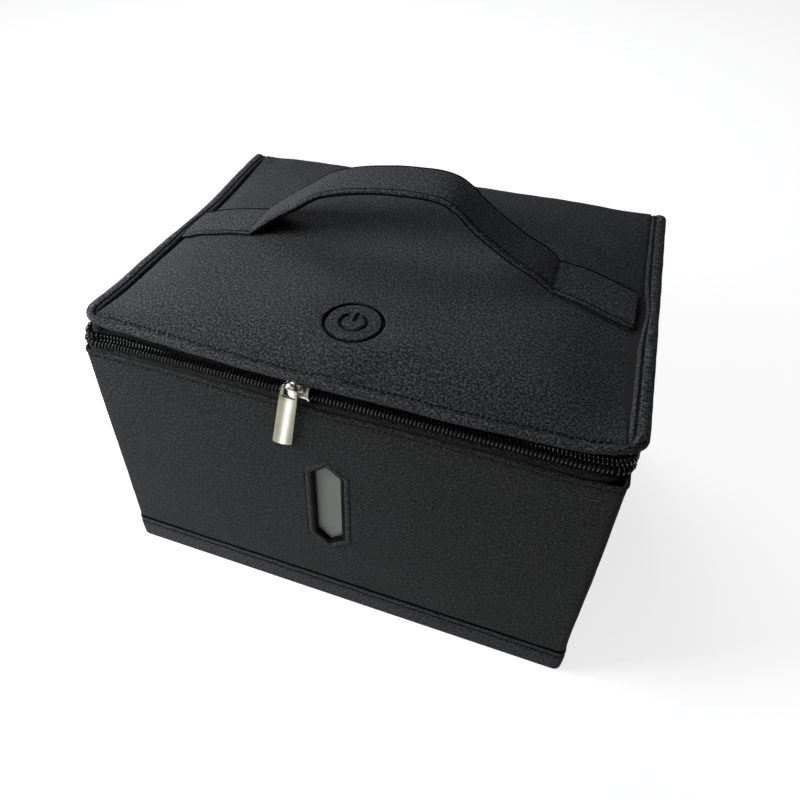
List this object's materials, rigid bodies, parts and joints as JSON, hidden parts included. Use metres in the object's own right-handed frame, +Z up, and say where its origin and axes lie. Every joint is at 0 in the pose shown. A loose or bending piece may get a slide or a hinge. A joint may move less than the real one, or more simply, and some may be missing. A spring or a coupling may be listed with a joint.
{
  "type": "uv sanitizer bag",
  "caption": "Zipped rectangular cloth box with a stiffened body, a padded hinged lid, a top handle and ultraviolet lights that clean small baby things placed inside.",
  "frame": {"origin": "middle of the underside that the box stands on", "axes": "+X across the front from left to right, +Y from the front to the back, +Z up"},
  "size_m": [0.2268, 0.1756, 0.1848],
  "materials": {
    "cloth": "woven charcoal twill",
    "dark_cloth": "woven, darker",
    "zip_tape": "narrow woven tape",
    "zip_coil": "satin nylon",
    "nickel": "polished warm nickel plate",
    "window_film": "grey translucent film",
    "stiffener": "plain sheet",
    "foil": "reflecting",
    "foam": "open foam",
    "circuit": "circuit board",
    "strip_metal": "satin",
    "inlet_metal": "plated",
    "lamp": "ceramic body with a clear lens",
    "clear_plastic": "clear",
    "black_plastic": "satin",
    "button_plastic": "soft matte",
    "wire": "insulated",
    "magnet": "plated"
  },
  "bodies": {
    "body": {"base_hem": "cloth", "base_cover": "dark_cloth", "base_board": "stiffener", "base_liner": "foil", "wall_fabric": "cloth", "window_facing": "dark_cloth", "window_film": "window_film", "front_board": "stiffener", "safety_magnet": "magnet", "back_board": "stiffener", "left_board": "stiffener", "right_board": "stiffener", "wall_liner": "foil", "zip_tape_lower": "zip_tape", "zip_coil_lower": "zip_coil", "zip_lower_stop_left": "nickel", "zip_lower_stop_right": "nickel"},
    "lid": {"zip_tape_upper": "zip_tape", "zip_coil_upper": "zip_coil", "zip_upper_stop_left": "nickel", "zip_upper_stop_right": "nickel", "lid_top_fabric": "cloth", "lid_back_fabric": "cloth", "lid_rim": "cloth", "lid_lining": "foil", "lid_board": "stiffener", "lid_foam": "foam", "control_board": "circuit", "driver_chip": "black_plastic", "reed_switch": "clear_plastic", "wire_front_leds": "wire", "wire_rear_leds": "wire", "wire_power": "wire", "power_inlet": "inlet_metal", "led_strip_front": "strip_metal", "led_front_1": "lamp", "led_front_2": "lamp", "led_front_3": "lamp", "led_front_4": "lamp", "led_front_5": "lamp", "led_cover_front": "clear_plastic", "led_strip_rear": "strip_metal", "led_rear_1": "lamp", "led_rear_2": "lamp", "led_rear_3": "lamp", "led_rear_4": "lamp", "led_rear_5": "lamp", "led_cover_rear": "clear_plastic", "button_bezel": "black_plastic", "press_switch": "black_plastic", "handle_backing": "dark_cloth", "handle_strap": "cloth"},
    "slider": {"slider_body": "nickel"},
    "pull": {"zip_pull": "nickel"},
    "button": {"power_button": "button_plastic", "switch_plunger": "button_plastic"}
  },
  "joints": [
    {"name": "lid_hinge", "type": "hinge", "parent": "body", "child": "lid", "pos_m": [0, 0.0863, 0.1344], "axis": [-1, 0, 0], "range_deg": [0, 110]},
    {"name": "slider_run", "type": "slide", "parent": "lid", "child": "slider", "axis": [1, 0, 0], "range_m": [-0.0845, 0.1085]},
    {"name": "pull_swing", "type": "hinge", "parent": "slider", "child": "pull", "pos_m": [-0.0127, -0.08657, 0.13934], "axis": [-1, 0, 0], "range_deg": [0, 200]},
    {"name": "button_press", "type": "slide", "parent": "lid", "child": "button", "axis": [0, 0, -1], "range_m": [0, 0.0008], "stiffness_N_per_m": 400}
  ]
}
